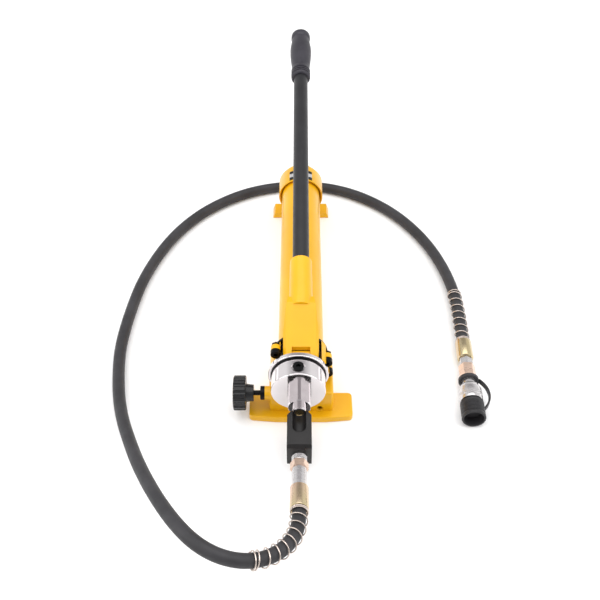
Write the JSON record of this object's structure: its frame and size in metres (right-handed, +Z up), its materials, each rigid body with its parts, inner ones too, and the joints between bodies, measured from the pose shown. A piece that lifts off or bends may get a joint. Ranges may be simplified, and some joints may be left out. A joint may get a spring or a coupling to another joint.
{
  "type": "hydraulic hand pump",
  "caption": "Hand-lever hydraulic pump with a lying round oil tank, plated head, release knob, outlet block, hose and quick coupler.",
  "frame": {"origin": "underside of the base, in the tank's centre plane, half-way along the front base plate", "axes": "+X to the right seen from the pump head, +Y along the tank from head to rear cap, +Z up"},
  "size_m": [0.6236, 1.0948, 0.2741],
  "materials": {
    "yellow_paint": "gloss enamel",
    "chrome_plate": "polished plating",
    "black_steel": "black enamel and black oxide",
    "black_rubber": "smooth matt rubber",
    "rating_foil": "printed foil, left blank",
    "zinc_steel": "bright zinc plate",
    "filter_mesh": "woven wire",
    "grip_plastic": "semi-gloss moulded",
    "spring_steel": "drawn wire",
    "black_plastic": "gloss moulded",
    "outlet_black": "gloss black",
    "brass_metal": "turned",
    "copper_plate": "copper-coloured plate",
    "yellow_zinc": "yellow zinc plate"
  },
  "bodies": {
    "pump": {"tank_tube": "yellow_paint", "base_casting": "yellow_paint", "rear_cap": "yellow_paint", "pump_head": "chrome_plate", "head_plug": "black_steel", "tie_screws": "black_steel", "clamp_ring": "black_steel", "screw_nuts": "black_steel", "gland_nut": "black_steel", "release_collar": "black_steel", "filler_plug": "black_steel", "relief_adjuster": "black_steel", "head_seal_ring": "black_rubber", "tank_gasket": "black_rubber", "cap_o_ring": "black_rubber", "plunger_seal": "black_rubber", "oil_bladder": "black_rubber", "hose": "black_rubber", "cap_ring": "black_rubber", "cap_strap": "black_rubber", "rating_plate": "rating_foil", "suction_tube": "zinc_steel", "outlet_adapter": "zinc_steel", "outlet_nose": "zinc_steel", "hose_stem": "zinc_steel", "hose_collar": "zinc_steel", "far_hex": "zinc_steel", "coupler_body": "zinc_steel", "inlet_plug": "zinc_steel", "suction_filter": "filter_mesh", "inlet_ball": "spring_steel", "inlet_spring": "spring_steel", "outlet_ball": "spring_steel", "outlet_spring": "spring_steel", "release_ball": "spring_steel", "relief_spring": "spring_steel", "relief_ball": "spring_steel", "poppet_spring": "spring_steel", "front_spring_guard": "spring_steel", "far_spring_guard": "spring_steel", "outlet_block": "outlet_black", "nose_insert": "brass_metal", "hose_nut": "copper_plate", "far_nut": "copper_plate", "front_ferrule": "yellow_zinc", "far_ferrule": "yellow_zinc"},
    "lever": {"lever_yoke": "yellow_paint", "handle_tube": "black_steel", "handle_grip": "grip_plastic", "handle_screw": "black_steel", "pivot_pin": "black_steel", "plunger_pin": "black_steel", "pin_clips": "black_steel"},
    "plunger_body": {"plunger": "zinc_steel"},
    "release": {"release_knob": "black_plastic", "release_spindle": "black_steel"},
    "sleeve": {"coupler_sleeve": "zinc_steel"},
    "cap": {"dust_cap": "black_plastic"},
    "poppet": {"coupler_poppet": "zinc_steel"}
  },
  "joints": [
    {"name": "handle_swing", "type": "hinge", "parent": "pump", "child": "lever", "pos_m": [0, 0.021, 0.107], "axis": [1, 0, 0], "range_deg": [-8, 36]},
    {"name": "plunger_slide", "type": "slide", "parent": "pump", "child": "plunger_body", "axis": [0, 0, 1], "range_m": [-0.0025, 0.0109]},
    {"name": "release_turn", "type": "hinge", "parent": "pump", "child": "release", "pos_m": [-0.1, -0.001, 0.043], "axis": [1, 0, 0], "range_deg": [0, 180]},
    {"name": "coupler_sleeve_spin", "type": "hinge", "parent": "pump", "child": "sleeve", "pos_m": [0.27359, 0.01613, 0.01901], "axis": [-0.0384, -0.9989, 0.027], "continuous": true},
    {"name": "dust_cap_pull", "type": "slide", "parent": "pump", "child": "cap", "axis": [-0.0384, -0.9989, 0.027], "range_m": [0, 0.03]},
    {"name": "coupler_poppet_press", "type": "slide", "parent": "pump", "child": "poppet", "axis": [0.0384, 0.9989, -0.027], "range_m": [0, 0.002], "stiffness_N_per_m": 300}
  ],
  "couplings": [
    {"joint": "plunger_slide", "follows": "handle_swing", "m_per_rad": 0.01707}
  ]
}
